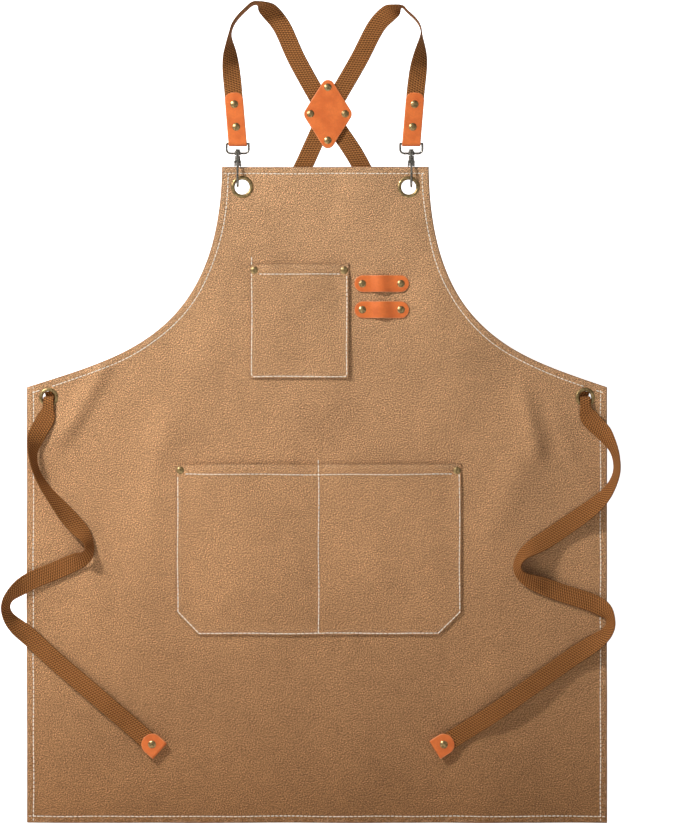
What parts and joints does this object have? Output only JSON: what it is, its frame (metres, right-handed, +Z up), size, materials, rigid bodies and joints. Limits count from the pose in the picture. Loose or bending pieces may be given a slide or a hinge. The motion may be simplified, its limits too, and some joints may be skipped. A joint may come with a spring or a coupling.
{
  "type": "cross-back bib apron",
  "caption": "Canvas bib apron with chest and waist pockets, leather tool loops, and webbing straps that clip to the bib, cross at the back and come out of waist eyelets as ties.",
  "frame": {"origin": "the middle of the bottom hem's back face, 5 mm above the hem's edge", "axes": "+Z up from the hem to the bib, +Y back towards the wearer and out of the cloth's back face, +X to the right of somebody who looks at the front"},
  "size_m": [0.7322, 0.0346, 0.9754],
  "materials": {
    "canvas": "heavy washed canvas, plain weave, matt",
    "thread": "cream polyester-cotton seam thread",
    "webbing": "golden brown cotton webbing, herringbone weave",
    "leather": "orange-tan split leather, lightly glazed",
    "brass": "antique brass, rubbed bright on the high edges",
    "steel": "nickel-plated zinc, slightly tarnished"
  },
  "bodies": {
    "skirt": {"skirt_panel": "canvas", "skirt_hem_thread": "thread", "waist_pocket": "canvas", "waist_pocket_thread": "thread", "waist_eyelets": "brass", "waist_eyelet_washers": "brass", "waist_pocket_rivets": "brass", "waist_pocket_rivet_caps": "brass", "left_eyelet_webbing": "webbing", "right_eyelet_webbing": "webbing"},
    "bib": {"bib_panel": "canvas", "bib_hem_thread": "thread", "chest_pocket": "canvas", "chest_pocket_thread": "thread", "bib_eyelets": "brass", "bib_eyelet_washers": "brass", "chest_pocket_rivets": "brass", "chest_pocket_rivet_caps": "brass", "upper_tool_loop": "leather", "lower_tool_loop": "leather", "tool_loop_rivets": "brass", "tool_loop_rivet_caps": "brass", "left_clasp_eye": "steel", "right_clasp_eye": "steel", "left_back_webbing": "webbing", "right_back_webbing": "webbing"},
    "harness": {"left_shoulder_webbing": "webbing", "right_shoulder_webbing": "webbing", "left_strap_tab": "leather", "right_strap_tab": "leather", "strap_tab_rivets": "brass", "strap_tab_rivet_caps": "brass", "cross_patch_front": "leather", "cross_patch_back": "leather", "cross_patch_rivets": "brass", "cross_patch_rivet_caps": "brass"},
    "left_clasp": {"left_clasp_hook": "steel", "left_clasp_pin": "steel", "left_clasp_spring": "steel"},
    "left_gate": {"left_clasp_gate": "steel"},
    "left_neck": {"left_tie_neck": "webbing"},
    "left_tie": {"left_tie_webbing": "webbing", "left_tie_tip": "leather", "left_tip_rivet": "brass", "left_tip_rivet_cap": "brass"},
    "right_clasp": {"right_clasp_hook": "steel", "right_clasp_pin": "steel", "right_clasp_spring": "steel"},
    "right_gate": {"right_clasp_gate": "steel"},
    "right_neck": {"right_tie_neck": "webbing"},
    "right_tie": {"right_tie_webbing": "webbing", "right_tie_tip": "leather", "right_tip_rivet": "brass", "right_tip_rivet_cap": "brass"}
  },
  "joints": [
    {"name": "bib_fold", "type": "hinge", "parent": "skirt", "child": "bib", "pos_m": [0, -0.0024, 0.519], "axis": [1, 0, 0], "range_deg": [0, 100], "stiffness_Nm_per_rad": 0.3},
    {"name": "harness_fold", "type": "hinge", "parent": "bib", "child": "harness", "pos_m": [0.01, -0.0015, 0.8025], "axis": [1, 0, 0], "range_deg": [-75, 110], "stiffness_Nm_per_rad": 0.1},
    {"name": "left_clasp_swivel", "type": "hinge", "parent": "bib", "child": "left_clasp", "pos_m": [-0.0943, -0.0015, 0.782], "axis": [0, 0, 1], "range_deg": [-40, 40]},
    {"name": "right_clasp_swivel", "type": "hinge", "parent": "bib", "child": "right_clasp", "pos_m": [0.1122, -0.0015, 0.782], "axis": [0, 0, 1], "range_deg": [-40, 40]},
    {"name": "left_gate_spring", "type": "hinge", "parent": "left_clasp", "child": "left_gate", "pos_m": [-0.0943, 0.006, 0.778], "axis": [-1, 0, 0], "range_deg": [0, 15], "stiffness_Nm_per_rad": 0.01, "springref_deg": -17.19},
    {"name": "right_gate_spring", "type": "hinge", "parent": "right_clasp", "child": "right_gate", "pos_m": [0.1122, 0.006, 0.778], "axis": [-1, 0, 0], "range_deg": [0, 15], "stiffness_Nm_per_rad": 0.01, "springref_deg": -17.19},
    {"name": "left_tie_swing", "type": "hinge", "parent": "skirt", "child": "left_neck", "pos_m": [-0.319, -0.0024, 0.501], "axis": [0, 1, 0], "range_deg": [-8, 60]},
    {"name": "right_tie_swing", "type": "hinge", "parent": "skirt", "child": "right_neck", "pos_m": [0.319, -0.0024, 0.501], "axis": [0, -1, 0], "range_deg": [-8, 60]},
    {"name": "left_tie_lift", "type": "hinge", "parent": "left_neck", "child": "left_tie", "pos_m": [-0.319, -0.0065, 0.491], "axis": [-1, 0, 0], "range_deg": [0, 80]},
    {"name": "right_tie_lift", "type": "hinge", "parent": "right_neck", "child": "right_tie", "pos_m": [0.319, -0.0065, 0.491], "axis": [-1, 0, 0], "range_deg": [0, 80]}
  ]
}
